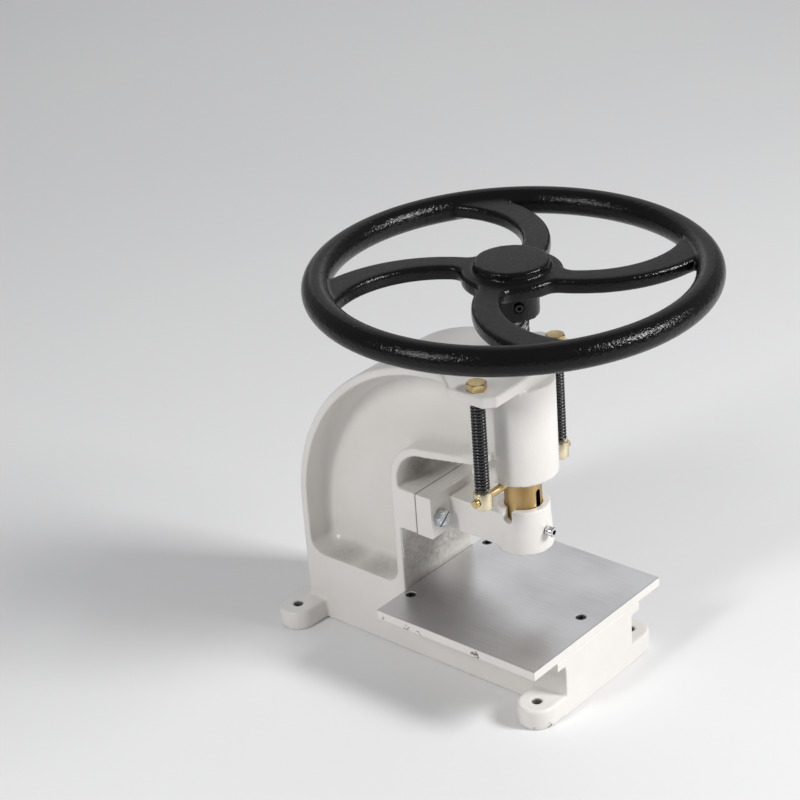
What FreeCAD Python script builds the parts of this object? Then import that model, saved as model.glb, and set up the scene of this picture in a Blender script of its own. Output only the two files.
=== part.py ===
import FreeCAD, Part
import math
import os

import Sketcher

# Bench-top hand-wheel cutting press. Millimetres, +Z up, front towards -Y.
# The origin is the centre of the four bench holes, on the underside of the base.

SIZES = [
    ("hole_span_x", 158, "bench holes, spacing across"),
    ("hole_span_y", 320, "bench holes, spacing front to back"),
    ("hole_d", 9, "bench hole diameter"),
    ("lug_radius", 20, "rounded end of a foot lug"),
    ("lug_thick", 22, "foot lug thickness"),
    ("ram_ahead", 92, "ram axis ahead of the bench hole centre"),
    ("base_width", 112, "width of the base walls"),
    ("base_top", 67, "height of the table seat"),
    ("flange_width", 138, "width of the table seat flange"),
    ("flange_thick", 11, "thickness of the table seat flange"),
    ("frame_width", 112, "width across the rims of the C frame"),
    ("web_thick", 44, "thickness of the recessed web"),
    ("rim_thick", 9, "thickness of the rims round the web"),
    ("recess_bottom", 78, "height of the recess floor"),
    ("recess_corner", 16, "corner radius of the recess"),
    ("recess_fillet", 12, "cast fillet between recess wall and web"),
    ("rim_round", 2.5, "rounding of the back's edges"),
    ("frame_rear", 164, "rear face behind the bench hole centre"),
    ("frame_top", 340, "height of the head plate"),
    ("arch_r", 204, "radius of the arched back"),
    ("throat_depth", 117, "ram axis to the column face"),
    ("throat_top", 252, "height of the throat roof at the head"),
    ("throat_fall", 13, "fall of the throat roof towards the column"),
    ("throat_r", 36, "radius of the throat corner"),
    ("arm_front", 5, "front end of the arm behind the ram axis"),
    ("plate_width", 148, "width of the head plate"),
    ("plate_front", 26, "front edge of the head plate ahead of the ram axis"),
    ("plate_ear", 26, "ear of the head plate behind the ram axis"),
    ("plate_flare", 22, "length of the flare behind each ear"),
    ("plate_thick", 12, "head plate thickness"),
    ("plate_corner", 10, "corner cut of the head plate"),
    ("barrel_d", 74, "diameter of the barrel"),
    ("barrel_bottom", 225, "height of the barrel mouth"),
    ("barrel_back", 34, "flat barrel sides behind the ram axis"),
    ("pad_out", 23, "bracket pad, reach from the column"),
    ("pad_bottom", 148, "bracket pad, lower edge"),
    ("pad_height", 46, "bracket pad, height"),
    ("table_width", 211, "cutting table width"),
    ("table_length", 201, "cutting table length"),
    ("table_thick", 10, "cutting table thickness"),
    ("table_gap", 4, "cutting table rear edge to the column face"),
    ("table_screw_d", 8, "table screw diameter"),
    ("table_screw_edge", 22, "front table screw to the front edge"),
    ("table_rear_edge", 10, "rear table screws to the rear edge"),
    ("table_screw_span", 126, "rear table screws, spacing"),
    ("table_screw_sink", 3, "table screw tops below the table face"),
    ("table_screw_depth", 10, "table screw grip in the base"),
    ("block_thick", 20, "bracket block thickness"),
    ("bracket_arm_width", 54, "bracket arm width"),
    ("bracket_arm_height", 37, "bracket arm height"),
    ("ring_top_d", 53, "bracket ring diameter at the top"),
    ("ring_bottom_d", 58, "bracket ring diameter at the bottom"),
    ("ring_bottom", 143, "height of the bracket ring's lower face"),
    ("ring_height", 47, "bracket ring height"),
    ("notch_width", 10, "width of the pin notches in the ring"),
    ("bolt_d", 10, "bracket bolt diameter"),
    ("bolt_head_flats", 17, "bracket bolt head across flats"),
    ("bolt_head_thick", 7, "bracket bolt head thickness"),
    ("bolt_grip", 18, "bracket bolt grip in the pad"),
    ("bolt_span", 86, "bracket bolts, spacing"),
    ("bolt_drop", 3, "bracket bolts below the middle of the pad"),
    ("guide_screw_d", 6, "guide screw diameter"),
    ("guide_head_d", 10, "guide screw head diameter"),
    ("guide_head_thick", 8, "guide screw head length"),
    ("guide_dog", 3, "guide screw reach into the keyway"),
    ("guide_above", 22, "guide screw above the ring's lower face"),
    ("ram_d", 38, "ram diameter"),
    ("ram_length", 153, "ram length"),
    ("ram_below", 1, "ram below the ring's lower face at rest"),
    ("stroke", 40, "travel of the ram"),
    ("key_depth", 4, "keyway depth"),
    ("die_bore_d", 16, "die socket diameter"),
    ("die_bore_depth", 30, "die socket depth"),
    ("socket_d", 24, "spindle journal diameter"),
    ("socket_depth", 26, "spindle socket depth in the ram"),
    ("washer_thick", 3, "thrust washer thickness"),
    ("groove_width", 5, "retaining groove width"),
    ("groove_depth", 2.5, "retaining groove depth"),
    ("groove_above", 10, "retaining groove above the journal end"),
    ("retainer_d", 4.4, "retaining screw diameter"),
    ("spindle_d", 28, "screw spindle diameter"),
    ("collar_gap", 1, "spindle shoulder above the ram"),
    ("nut_d", 44, "lead nut diameter"),
    ("nut_length", 38, "lead nut length"),
    ("lock_screw_d", 6, "nut lock screw diameter"),
    ("lock_screw_length", 14, "nut lock screw length"),
    ("pin_d", 8, "cross pin diameter"),
    ("pin_length", 152, "cross pin length"),
    ("collar_d", 18.5, "spring collar diameter"),
    ("collar_height", 18, "spring collar height"),
    ("spring_span", 124, "springs, spacing"),
    ("spring_d", 15, "spring outside diameter"),
    ("wire_d", 2.4, "spring wire diameter"),
    ("spring_turns", 28, "full turns of a spring"),
    ("spring_bolt_d", 8, "spring bolt diameter"),
    ("spring_bolt_flats", 18, "spring bolt head across flats"),
    ("spring_bolt_head", 8, "spring bolt head thickness"),
    ("spring_bolt_below", 7, "spring bolt end below the head plate"),
    ("wheel_d", 400, "handwheel diameter"),
    ("wheel_rim_d", 28, "handwheel rim section"),
    ("wheel_height", 435, "height of the rim centre"),
    ("hub_d", 73, "hub disc diameter"),
    ("hub_rise", 16, "hub disc top above the rim centre"),
    ("hub_cap", 9, "hub disc above the spokes"),
    ("web_d", 98, "web round the hub between the spokes"),
    ("web_round", 12, "rounding of the corners between web and spokes"),
    ("boss_d", 50, "lower hub boss diameter"),
    ("boss_drop", 40, "lower hub boss end below the rim centre"),
    ("spoke_thick", 15, "spoke thickness"),
    ("spoke_round", 4, "rounding of the spoke edges"),
    ("spoke_lead_hub", -20, "spoke leading edge at the hub, degrees"),
    ("spoke_lead_mid", 18, "spoke leading edge half way, degrees"),
    ("spoke_lead_rim", 44, "spoke leading edge at the rim, degrees"),
    ("spoke_trail_hub", 48, "spoke trailing edge at the hub, degrees"),
    ("spoke_trail_mid", 35.5, "spoke trailing edge half way, degrees"),
    ("spoke_trail_rim", 65, "spoke trailing edge at the rim, degrees"),
    ("spokes", 4, "number of spokes"),
    ("stem_d", 24, "spindle top diameter in the hub"),
    ("stem_cover", 10, "hub metal above the spindle top"),
    ("hub_screw_d", 8, "hub set screw diameter"),
    ("hub_screw_angle", -130, "direction of the hub set screw, degrees"),
    ("key_width", 8, "hub key width"),
    ("key_rise", 3, "hub key height above the spindle"),
    ("key_length", 28, "hub key length"),
    ("running_gap", 0.05, "radial running clearance"),
    ("seat_gap", 0.2, "clearance of a seated piece"),
    ("stop_gap", 0.3, "clearance at a stop"),
]

doc = FreeCAD.newDocument("hand_press")
dim = doc.addObject("Spreadsheet::Sheet", "dim")
for row, (alias, value, note) in enumerate(SIZES, 1):
    dim.set(f"A{row}", note)
    dim.set(f"B{row}", str(value))
    dim.setAlias(f"B{row}", alias)
doc.recompute()

# Places worked out from the driving sizes, as expressions
RAM_Y = "(-dim.ram_ahead)"
COLUMN_FRONT = "(dim.throat_depth - dim.ram_ahead)"
TABLE_REAR = f"({COLUMN_FRONT} - dim.table_gap)"
BASE_FRONT = f"({TABLE_REAR} - dim.table_length)"
ARCH_Y = "(dim.frame_rear - dim.arch_r)"
ARCH_Z = "(dim.frame_top - dim.arch_r)"
ARM_FRONT = "(dim.arm_front - dim.ram_ahead)"
PLATE_BOTTOM = "(dim.frame_top - dim.plate_thick)"
PAD_FRONT = f"({COLUMN_FRONT} - dim.pad_out)"
BOLT_Z = "(dim.pad_bottom + dim.pad_height / 2 - dim.bolt_drop)"
BLOCK_FRONT = f"({PAD_FRONT} - dim.block_thick)"
NUT_BOTTOM = "(dim.frame_top - dim.nut_length)"
RAM_BOTTOM = "(dim.ring_bottom - dim.ram_below)"
RAM_TOP = f"({RAM_BOTTOM} + dim.ram_length)"
GUIDE_Z = "(dim.ring_bottom + dim.guide_above)"
PIN_Z = "(dim.barrel_bottom - dim.pin_d / 2 - dim.stop_gap)"
NOTCH_FLOOR = f"({PIN_Z} - dim.pin_d / 2 - dim.stroke - dim.stop_gap)"
SOCKET_FLOOR = f"({RAM_TOP} - dim.socket_depth)"
JOURNAL_END = f"({SOCKET_FLOOR} + dim.washer_thick + 2 * dim.running_gap)"
GROOVE_Z = f"({JOURNAL_END} + dim.groove_above)"
BOSS_BOTTOM = "(dim.wheel_height - dim.boss_drop)"
HUB_TOP = "(dim.wheel_height + dim.hub_rise)"
SPOKE_TOP = f"({HUB_TOP} - dim.hub_cap)"
SPOKE_BOTTOM = f"({SPOKE_TOP} - dim.spoke_thick)"
STEM_TOP = f"({HUB_TOP} - dim.stem_cover)"
TABLE_TOP = "(dim.base_top + dim.table_thick)"
COLLAR_TOP = f"({PIN_Z} + dim.collar_height / 2)"
SCREW_Z = f"(({BOSS_BOTTOM} + {SPOKE_BOTTOM}) / 2)"
RIM_R = "(dim.wheel_d / 2 - dim.wheel_rim_d / 2)"


def size(expression):
    """The number that an expression of the sheet gives."""
    return float(dim.evalExpression(expression))


def new_body(label):
    body = doc.addObject("PartDesign::Body", label)
    body.Label = label
    return body


def sketch_on(body, plane, offset="0"):
    """An empty sketch on an origin plane of its body, moved along the plane's normal."""
    sketch = body.newObject("Sketcher::SketchObject", f"{body.Name}_sketch")
    support = next(f for f in body.Origin.OriginFeatures if f.Role == plane)
    sketch.AttachmentSupport = [(support, "")]
    sketch.MapMode = "FlatFace"
    sketch.setExpression("AttachmentOffset.Base.z", offset)
    return sketch


def bind(sketch, constraint, expression):
    index = sketch.addConstraint(constraint)
    name = f"c{index}"
    sketch.renameConstraint(index, name)
    sketch.setExpression(f"Constraints.{name}", expression)


def pin_point(sketch, edge, end, x, y):
    bind(sketch, Sketcher.Constraint("DistanceX", -1, 1, edge, end, size(x)), x)
    bind(sketch, Sketcher.Constraint("DistanceY", -1, 1, edge, end, size(y)), y)


def arc_centre(start, end, radius, turn):
    """Centre of the shorter arc from start to end; turn is 1 for counter-clockwise."""
    chord = end - start
    rise = math.sqrt(max(radius ** 2 - chord.Length ** 2 / 4, 0))
    side = FreeCAD.Vector(-chord.y, chord.x, 0).normalize()
    return (start + end) * 0.5 + side * rise * turn


def outline(sketch, corners):
    """A closed outline. A corner is (x, y), or (x, y, radius, turn) where an arc leaves it."""
    points = [FreeCAD.Vector(size(c[0]), size(c[1]), 0) for c in corners]
    ends = []
    for i, corner in enumerate(corners):
        start, end = points[i], points[(i + 1) % len(points)]
        if len(corner) == 2:
            edge = sketch.addGeometry(Part.LineSegment(start, end))
            ends.append((edge, 1, 2))
            continue
        radius, turn = size(corner[2]), corner[3]
        centre = arc_centre(start, end, radius, turn)
        first, last = (start, end) if turn > 0 else (end, start)
        angles = [math.atan2(p.y - centre.y, p.x - centre.x) for p in (first, last)]
        if angles[1] < angles[0]:
            angles[1] += 2 * math.pi
        circle = Part.Circle(centre, FreeCAD.Vector(0, 0, 1), radius)
        edge = sketch.addGeometry(Part.ArcOfCircle(circle, *angles))
        ends.append((edge, 1, 2) if turn > 0 else (edge, 2, 1))
    for i, corner in enumerate(corners):
        edge, first, last = ends[i]
        after = ends[(i + 1) % len(ends)]
        sketch.addConstraint(Sketcher.Constraint("Coincident", edge, last, after[0], after[1]))
        pin_point(sketch, edge, first, corner[0], corner[1])
        if len(corner) > 2:
            bind(sketch, Sketcher.Constraint("Radius", edge, size(corner[2])), corner[2])


def rectangle(sketch, x0, y0, x1, y1):
    outline(sketch, [(x0, y0), (x1, y0), (x1, y1), (x0, y1)])


def circle(sketch, x, y, radius):
    centre = FreeCAD.Vector(size(x), size(y), 0)
    edge = sketch.addGeometry(Part.Circle(centre, FreeCAD.Vector(0, 0, 1), size(radius)))
    pin_point(sketch, edge, 3, x, y)
    bind(sketch, Sketcher.Constraint("Radius", edge, size(radius)), radius)


def extrude(body, kind, sketch, length, reverse=False, both=False):
    """A Pad or Pocket of the sketch; a cut has to take metal away."""
    doc.recompute()
    before = body.Shape.Volume if body.Tip else 0
    feature = body.newObject(f"PartDesign::{kind}", f"{body.Name}_{kind}")
    feature.Profile = sketch
    feature.SideType = "Symmetric" if both else "One side"
    feature.Reversed = reverse
    feature.setExpression("Length", length)
    doc.recompute()
    changed = body.Shape.Volume - before
    if (changed > 0) != (kind == "Pad") or abs(changed) < 1e-6:
        raise ValueError(f"{feature.Name} changed the volume by {changed}")
    return feature


def mirror(body, features):
    """The same features on the other side of the middle plane."""
    feature = body.newObject("PartDesign::Mirrored", f"{body.Name}_mirror")
    feature.Originals = features
    plane = next(f for f in body.Origin.OriginFeatures if f.Role == "YZ_Plane")
    feature.MirrorPlane = (plane, [""])
    body.Tip = feature
    doc.recompute()
    return feature


def round_edges(body, chosen, radius):
    """Round the edges of the body that the test picks."""
    doc.recompute()
    tip = body.Tip
    names = [f"Edge{i}" for i, edge in enumerate(tip.Shape.Edges, 1) if chosen(edge)]
    if not names:
        raise ValueError(f"{body.Name} has no such edge to round")
    feature = body.newObject("PartDesign::Fillet", f"{body.Name}_fillet")
    feature.Base = (tip, names)
    feature.setExpression("Radius", radius)
    doc.recompute()
    return feature


def cylinder(name, radius, height, x="0", y="0", z="0", axis=None, turn=None):
    """A Part cylinder from its base point along +Z, or turned by an angle about an axis."""
    shape = doc.addObject("Part::Cylinder", name)
    shape.setExpression("Radius", radius)
    shape.setExpression("Height", height)
    if axis:
        shape.Placement.Rotation = FreeCAD.Rotation(FreeCAD.Vector(*axis), turn)
    for letter, expression in zip("xyz", (x, y, z)):
        shape.setExpression(f"Placement.Base.{letter}", expression)
    return shape


def hexagon(name, flats, height, x, y, z, axis=None, turn=None):
    shape = doc.addObject("Part::Prism", name)
    shape.Polygon = 6
    shape.setExpression("Circumradius", f"{flats} / 2 / cos(30)")
    shape.setExpression("Height", height)
    if axis:
        shape.Placement.Rotation = FreeCAD.Rotation(FreeCAD.Vector(*axis), turn)
    for letter, expression in zip("xyz", (x, y, z)):
        shape.setExpression(f"Placement.Base.{letter}", expression)
    return shape


def fuse(label, *shapes):
    feature = doc.addObject("Part::MultiFuse", label)
    feature.Label = label
    feature.Shapes = list(shapes)
    feature.Refine = False
    doc.recompute()
    return feature


def cut(label, base, *tools):
    for i, tool in enumerate(tools):
        feature = doc.addObject("Part::Cut", label if i == len(tools) - 1 else f"{label}_cut{i}")
        feature.Base = base
        feature.Tool = tool
        base = feature
    base.Label = label
    doc.recompute()
    return base


def group(label, *shapes):
    """Separate solids kept in one node."""
    feature = doc.addObject("Part::Compound", label)
    feature.Label = label
    feature.Links = list(shapes)
    doc.recompute()
    return feature


X_AXIS = (1, 0, 0)
Y_AXIS = (0, 1, 0)
QUARTER = 90
SIDES = (("left", "-"), ("right", ""))


def frame_casting():
    body = new_body("frame_casting")
    half = "dim.frame_width / 2"
    roof_rear = "(dim.throat_top - dim.throat_fall)"
    corner_z = f"({roof_rear} - dim.throat_r)"
    corner_y = f"({COLUMN_FRONT} - dim.throat_r)"

    # C frame: column, arched back and arm in one profile
    profile = sketch_on(body, "YZ_Plane")
    outline(profile, [
        ("dim.frame_rear", "0"),
        ("dim.frame_rear", ARCH_Z, "dim.arch_r", 1),
        (ARCH_Y, "dim.frame_top"),
        (ARM_FRONT, "dim.frame_top"),
        (ARM_FRONT, "dim.throat_top"),
        (corner_y, roof_rear, "dim.throat_r", -1),
        (COLUMN_FRONT, corner_z),
        (COLUMN_FRONT, "0"),
    ])
    extrude(body, "Pad", profile, "dim.frame_width", both=True)

    # Side recesses, open at the front where the barrel stands
    recess = sketch_on(body, "YZ_Plane", half)
    rear = "(dim.frame_rear - dim.rim_thick)"
    front = f"({COLUMN_FRONT} + dim.rim_thick)"
    inner_arch = "(dim.arch_r - dim.rim_thick)"
    open_end = f"({ARM_FRONT} - dim.rim_thick)"
    low = "dim.recess_bottom"
    bend = "dim.recess_corner"
    outline(recess, [
        (f"{rear} - {bend}", low, bend, 1),
        (rear, f"{low} + {bend}"),
        (rear, ARCH_Z, inner_arch, 1),
        (ARCH_Y, "dim.frame_top - dim.rim_thick"),
        (open_end, "dim.frame_top - dim.rim_thick"),
        (open_end, "dim.throat_top + dim.rim_thick"),
        (corner_y, f"{roof_rear} + dim.rim_thick", "(dim.throat_r + dim.rim_thick)", -1),
        (front, corner_z),
        (front, f"{low} + {bend}", bend, 1),
        (f"{front} + {bend}", low),
    ])
    depth = "(dim.frame_width - dim.web_thick) / 2"
    pocket = extrude(body, "Pocket", recess, depth)
    mirror(body, [pocket])
    web = size("dim.web_thick / 2")

    def on_web(edge):
        box = edge.BoundBox
        flat = box.XLength < 1e-4 and abs(abs(box.XMin) - web) < 1e-4
        return flat and box.YMax > size(ARM_FRONT) + 1e-3

    round_edges(body, on_web, "dim.recess_fillet")

    # Base under the table, with the seat flange
    base = sketch_on(body, "XY_Plane")
    rectangle(base, "-dim.base_width / 2", BASE_FRONT, "dim.base_width / 2", COLUMN_FRONT)
    extrude(body, "Pad", base, "dim.base_top")
    seat = sketch_on(body, "XY_Plane", "dim.base_top")
    rectangle(seat, "-dim.flange_width / 2", BASE_FRONT, "dim.flange_width / 2", COLUMN_FRONT)
    extrude(body, "Pad", seat, "dim.flange_thick", reverse=True)

    # Foot lugs
    lugs = sketch_on(body, "XY_Plane")
    for x_sign, turn in (("-", -1), ("", 1)):
        for y_sign in ("-", ""):
            x = f"{x_sign}dim.hole_span_x / 2"
            y = f"{y_sign}dim.hole_span_y / 2"
            root = f"{x_sign}(dim.base_width - dim.lug_radius) / 2"
            outline(lugs, [
                (root, f"{y} - dim.lug_radius"),
                (x, f"{y} - dim.lug_radius", "dim.lug_radius", turn),
                (f"{x} + {turn} * dim.lug_radius", y, "dim.lug_radius", turn),
                (x, f"{y} + dim.lug_radius"),
                (root, f"{y} + dim.lug_radius"),
            ])
    extrude(body, "Pad", lugs, "dim.lug_thick")
    holes = sketch_on(body, "XY_Plane")
    for x_sign in ("-", ""):
        for y_sign in ("-", ""):
            circle(holes, f"{x_sign}dim.hole_span_x / 2", f"{y_sign}dim.hole_span_y / 2", "dim.hole_d / 2")
    extrude(body, "Pocket", holes, "dim.lug_thick", reverse=True)

    # Head: plate with ears, and the barrel
    plate = sketch_on(body, "XY_Plane", "dim.frame_top")
    edge = "dim.plate_width / 2"
    plate_front = f"({RAM_Y} - dim.plate_front)"
    ear_end = f"({RAM_Y} + dim.plate_ear)"
    flare_end = f"({ear_end} + dim.plate_flare)"
    outline(plate, [
        (f"-{edge}", ear_end),
        (f"-{edge}", f"{plate_front} + dim.plate_corner"),
        (f"-{edge} + dim.plate_corner", plate_front),
        (f"{edge} - dim.plate_corner", plate_front),
        (edge, f"{plate_front} + dim.plate_corner"),
        (edge, ear_end),
        (half, flare_end),
        (f"-{half}", flare_end),
    ])
    extrude(body, "Pad", plate, "dim.plate_thick", reverse=True)
    barrel = sketch_on(body, "XY_Plane", "dim.barrel_bottom")
    side = "dim.barrel_d / 2"
    outline(barrel, [
        (f"-{side}", RAM_Y, side, 1),
        ("0", f"{RAM_Y} - {side}", side, 1),
        (side, RAM_Y),
        (side, f"{RAM_Y} + dim.barrel_back"),
        (f"-{side}", f"{RAM_Y} + dim.barrel_back"),
    ])
    extrude(body, "Pad", barrel, f"{PLATE_BOTTOM} - dim.barrel_bottom")

    def on_back(edge):
        box = edge.BoundBox
        flat = box.XLength < 1e-4 and abs(abs(box.XMin) - size(half)) < 1e-4
        return flat and abs(box.YMax - size("dim.frame_rear")) < 1e-3 and box.ZMax > size(low)

    round_edges(body, on_back, "dim.rim_round")

    # Pad for the guide bracket on the column face
    pad = sketch_on(body, "XZ_Plane", f"-{COLUMN_FRONT}")
    rectangle(pad, f"-{half}", "dim.pad_bottom", half, "dim.pad_bottom + dim.pad_height")
    extrude(body, "Pad", pad, "dim.pad_out")

    # Bores: ram, lead nut, lock screw, spring bolts, bracket bolts, table screws
    ram_bore = sketch_on(body, "XY_Plane", NUT_BOTTOM)
    circle(ram_bore, "0", RAM_Y, "dim.ram_d / 2 + dim.running_gap")
    extrude(body, "Pocket", ram_bore, f"{NUT_BOTTOM} - dim.barrel_bottom")
    nut_bore = sketch_on(body, "XY_Plane", "dim.frame_top")
    circle(nut_bore, "0", RAM_Y, "dim.nut_d / 2 + dim.running_gap")
    extrude(body, "Pocket", nut_bore, "dim.nut_length")
    lock = sketch_on(body, "XY_Plane", "dim.frame_top")
    circle(lock, "0", f"{RAM_Y} + dim.nut_d / 2", "dim.lock_screw_d / 2 + dim.running_gap")
    extrude(body, "Pocket", lock, "dim.lock_screw_length")
    ears = sketch_on(body, "XY_Plane", "dim.frame_top")
    for sign in ("-", ""):
        circle(ears, f"{sign}dim.spring_span / 2", RAM_Y, "dim.spring_bolt_d / 2 + dim.running_gap")
    extrude(body, "Pocket", ears, "dim.plate_thick")
    taps = sketch_on(body, "XZ_Plane", f"-{PAD_FRONT}")
    for sign in ("-", ""):
        circle(taps, f"{sign}dim.bolt_span / 2", BOLT_Z, "dim.bolt_d / 2 + dim.running_gap")
    extrude(body, "Pocket", taps, "dim.bolt_grip")
    seats = sketch_on(body, "XY_Plane", "dim.base_top")
    for x, y in table_screw_places():
        circle(seats, x, y, "dim.table_screw_d / 2 + dim.running_gap")
    extrude(body, "Pocket", seats, "dim.table_screw_depth")
    return body


def table_screw_places():
    rear = f"({TABLE_REAR} - dim.table_rear_edge)"
    return [
        ("0", f"({BASE_FRONT} + dim.table_screw_edge)"),
        ("-dim.table_screw_span / 2", rear),
        ("dim.table_screw_span / 2", rear),
    ]


def cutting_table():
    body = new_body("cutting_table")
    sheet = sketch_on(body, "XY_Plane", "dim.base_top")
    rectangle(sheet, "-dim.table_width / 2", BASE_FRONT, "dim.table_width / 2", TABLE_REAR)
    extrude(body, "Pad", sheet, "dim.table_thick")
    holes = sketch_on(body, "XY_Plane", TABLE_TOP)
    for x, y in table_screw_places():
        circle(holes, x, y, "dim.table_screw_d / 2 + dim.running_gap")
    extrude(body, "Pocket", holes, "dim.table_thick")
    return body


def table_screws():
    length = "dim.table_screw_depth + dim.table_thick - dim.table_screw_sink"
    bottom = "dim.base_top - dim.table_screw_depth"
    places = table_screw_places()
    screws = [
        cylinder(f"table_screw_{i}", "dim.table_screw_d / 2", length, x, y, bottom)
        for i, (x, y) in enumerate(places)
    ]
    return group("table_screws", *screws)


def guide_bracket():
    body = new_body("guide_bracket")
    block = sketch_on(body, "XZ_Plane", f"-{PAD_FRONT}")
    half = "dim.frame_width / 2"
    rectangle(block, f"-{half}", "dim.pad_bottom", half, "dim.pad_bottom + dim.pad_height")
    extrude(body, "Pad", block, "dim.block_thick")
    arm = sketch_on(body, "XY_Plane", "dim.pad_bottom")
    rectangle(arm, "-dim.bracket_arm_width / 2", RAM_Y, "dim.bracket_arm_width / 2", BLOCK_FRONT)
    extrude(body, "Pad", arm, "dim.bracket_arm_height")
    ring = sketch_on(body, "XY_Plane", "dim.ring_bottom")
    circle(ring, "0", RAM_Y, "dim.ring_bottom_d / 2")
    taper = "atan((dim.ring_bottom_d - dim.ring_top_d) / 2 / dim.ring_height)"
    cone = extrude(body, "Pad", ring, "dim.ring_height")
    cone.setExpression("TaperAngle", f"-{taper}")
    doc.recompute()
    bore = sketch_on(body, "XY_Plane", "dim.ring_bottom")
    circle(bore, "0", RAM_Y, "dim.ram_d / 2 + dim.running_gap")
    extrude(body, "Pocket", bore, "dim.ring_height", reverse=True)
    notch = sketch_on(body, "YZ_Plane")
    wide = "dim.notch_width / 2"
    top = "(dim.ring_bottom + 2 * dim.ring_height)"
    outline(notch, [
        (f"{RAM_Y} - {wide}", f"{NOTCH_FLOOR} + {wide}", wide, 1),
        (RAM_Y, NOTCH_FLOOR, wide, 1),
        (f"{RAM_Y} + {wide}", f"{NOTCH_FLOOR} + {wide}"),
        (f"{RAM_Y} + {wide}", top),
        (f"{RAM_Y} - {wide}", top),
    ])
    extrude(body, "Pocket", notch, "2 * dim.ring_bottom_d", both=True)
    holes = sketch_on(body, "XZ_Plane", f"-{BLOCK_FRONT}")
    for sign in ("-", ""):
        circle(holes, f"{sign}dim.bolt_span / 2", BOLT_Z, "dim.bolt_d / 2 + dim.running_gap")
    extrude(body, "Pocket", holes, "dim.block_thick")
    screw = sketch_on(body, "XZ_Plane", f"-{RAM_Y}")
    circle(screw, "0", GUIDE_Z, "dim.guide_screw_d / 2 + dim.running_gap")
    extrude(body, "Pocket", screw, "dim.ring_bottom_d", reverse=True)
    return body


def bracket_bolts():
    bolts = []
    for side, sign in SIDES:
        x = f"{sign}dim.bolt_span / 2"
        head = hexagon(
            f"{side}_bolt_head", "dim.bolt_head_flats", "dim.bolt_head_thick",
            x, BLOCK_FRONT, BOLT_Z, X_AXIS, QUARTER)
        shank = cylinder(
            f"{side}_bolt_shank", "dim.bolt_d / 2", "dim.block_thick + dim.bolt_grip",
            x, f"{PAD_FRONT} + dim.bolt_grip", BOLT_Z, X_AXIS, QUARTER)
        bolts.append(fuse(f"{side}_bracket_bolt", head, shank))
    return group("bracket_bolts", *bolts)


def guide_screw():
    face = f"({RAM_Y} - dim.ring_bottom_d / 2)"
    tip = f"({RAM_Y} - dim.ram_d / 2 + dim.guide_dog)"
    shank = cylinder(
        "guide_screw_shank", "dim.guide_screw_d / 2", f"{tip} - {face}",
        "0", tip, GUIDE_Z, X_AXIS, QUARTER)
    head = cylinder(
        "guide_screw_head", "dim.guide_head_d / 2", "dim.guide_head_thick",
        "0", face, GUIDE_Z, X_AXIS, QUARTER)
    return fuse("guide_screw", shank, head)


def lead_nut():
    body = cylinder("lead_nut_body", "dim.nut_d / 2", "dim.nut_length", "0", RAM_Y, NUT_BOTTOM)
    bore = cylinder(
        "lead_nut_bore", "dim.spindle_d / 2 + dim.running_gap", "dim.nut_length",
        "0", RAM_Y, NUT_BOTTOM)
    lock = cylinder(
        "lead_nut_lock", "dim.lock_screw_d / 2 + dim.running_gap", "dim.lock_screw_length",
        "0", f"{RAM_Y} + dim.nut_d / 2", "dim.frame_top - dim.lock_screw_length")
    return cut("lead_nut", body, bore, lock)


def nut_lock_screw():
    screw = cylinder(
        "nut_lock_screw", "dim.lock_screw_d / 2", "dim.lock_screw_length",
        "0", f"{RAM_Y} + dim.nut_d / 2", "dim.frame_top - dim.lock_screw_length")
    screw.Label = "nut_lock_screw"
    return screw


def spring_bolt(side, sign):
    x = f"{sign}dim.spring_span / 2"
    head = hexagon(
        f"{side}_spring_bolt_head", "dim.spring_bolt_flats", "dim.spring_bolt_head",
        x, RAM_Y, "dim.frame_top")
    shank = cylinder(
        f"{side}_spring_bolt_shank", "dim.spring_bolt_d / 2",
        "dim.plate_thick + dim.spring_bolt_below",
        x, RAM_Y, f"{PLATE_BOTTOM} - dim.spring_bolt_below")
    return fuse(f"{side}_spring_bolt", head, shank)


def helix_edges(point, start, turns):
    """Quarter-turn biarcs along a helix; point gives the place and heading at a turn count."""
    edges = []
    quarters = 4 * turns
    for i in range(quarters):
        (p, heading_p), (q, heading_q) = point(start + i / 4), point(start + (i + 1) / 4)
        span = q - p
        both = heading_p + heading_q
        square = 2 * (1 - heading_p.dot(heading_q))
        mixed = span.dot(both)
        reach = (-mixed + math.sqrt(mixed ** 2 + square * span.dot(span))) / square
        joint = (p + q + (heading_p - heading_q) * reach) * 0.5
        for first, heading, last in ((p, heading_p, joint), (joint, None, q)):
            if heading is None:
                heading = (joint - (p + heading_p * reach)).normalize()
            edges.append(Part.Arc(first, arc_middle(first, heading, last), last).toShape())
    return edges


def arc_middle(first, heading, last):
    """Middle of the arc that leaves first along heading and ends at last."""
    chord = last - first
    half = chord.getAngle(heading) / 2
    across = (heading * chord.Length - chord * (heading.dot(chord) / chord.Length)).normalize()
    return first + chord * 0.5 + across * (chord.Length / 2 * math.tan(half))


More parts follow.
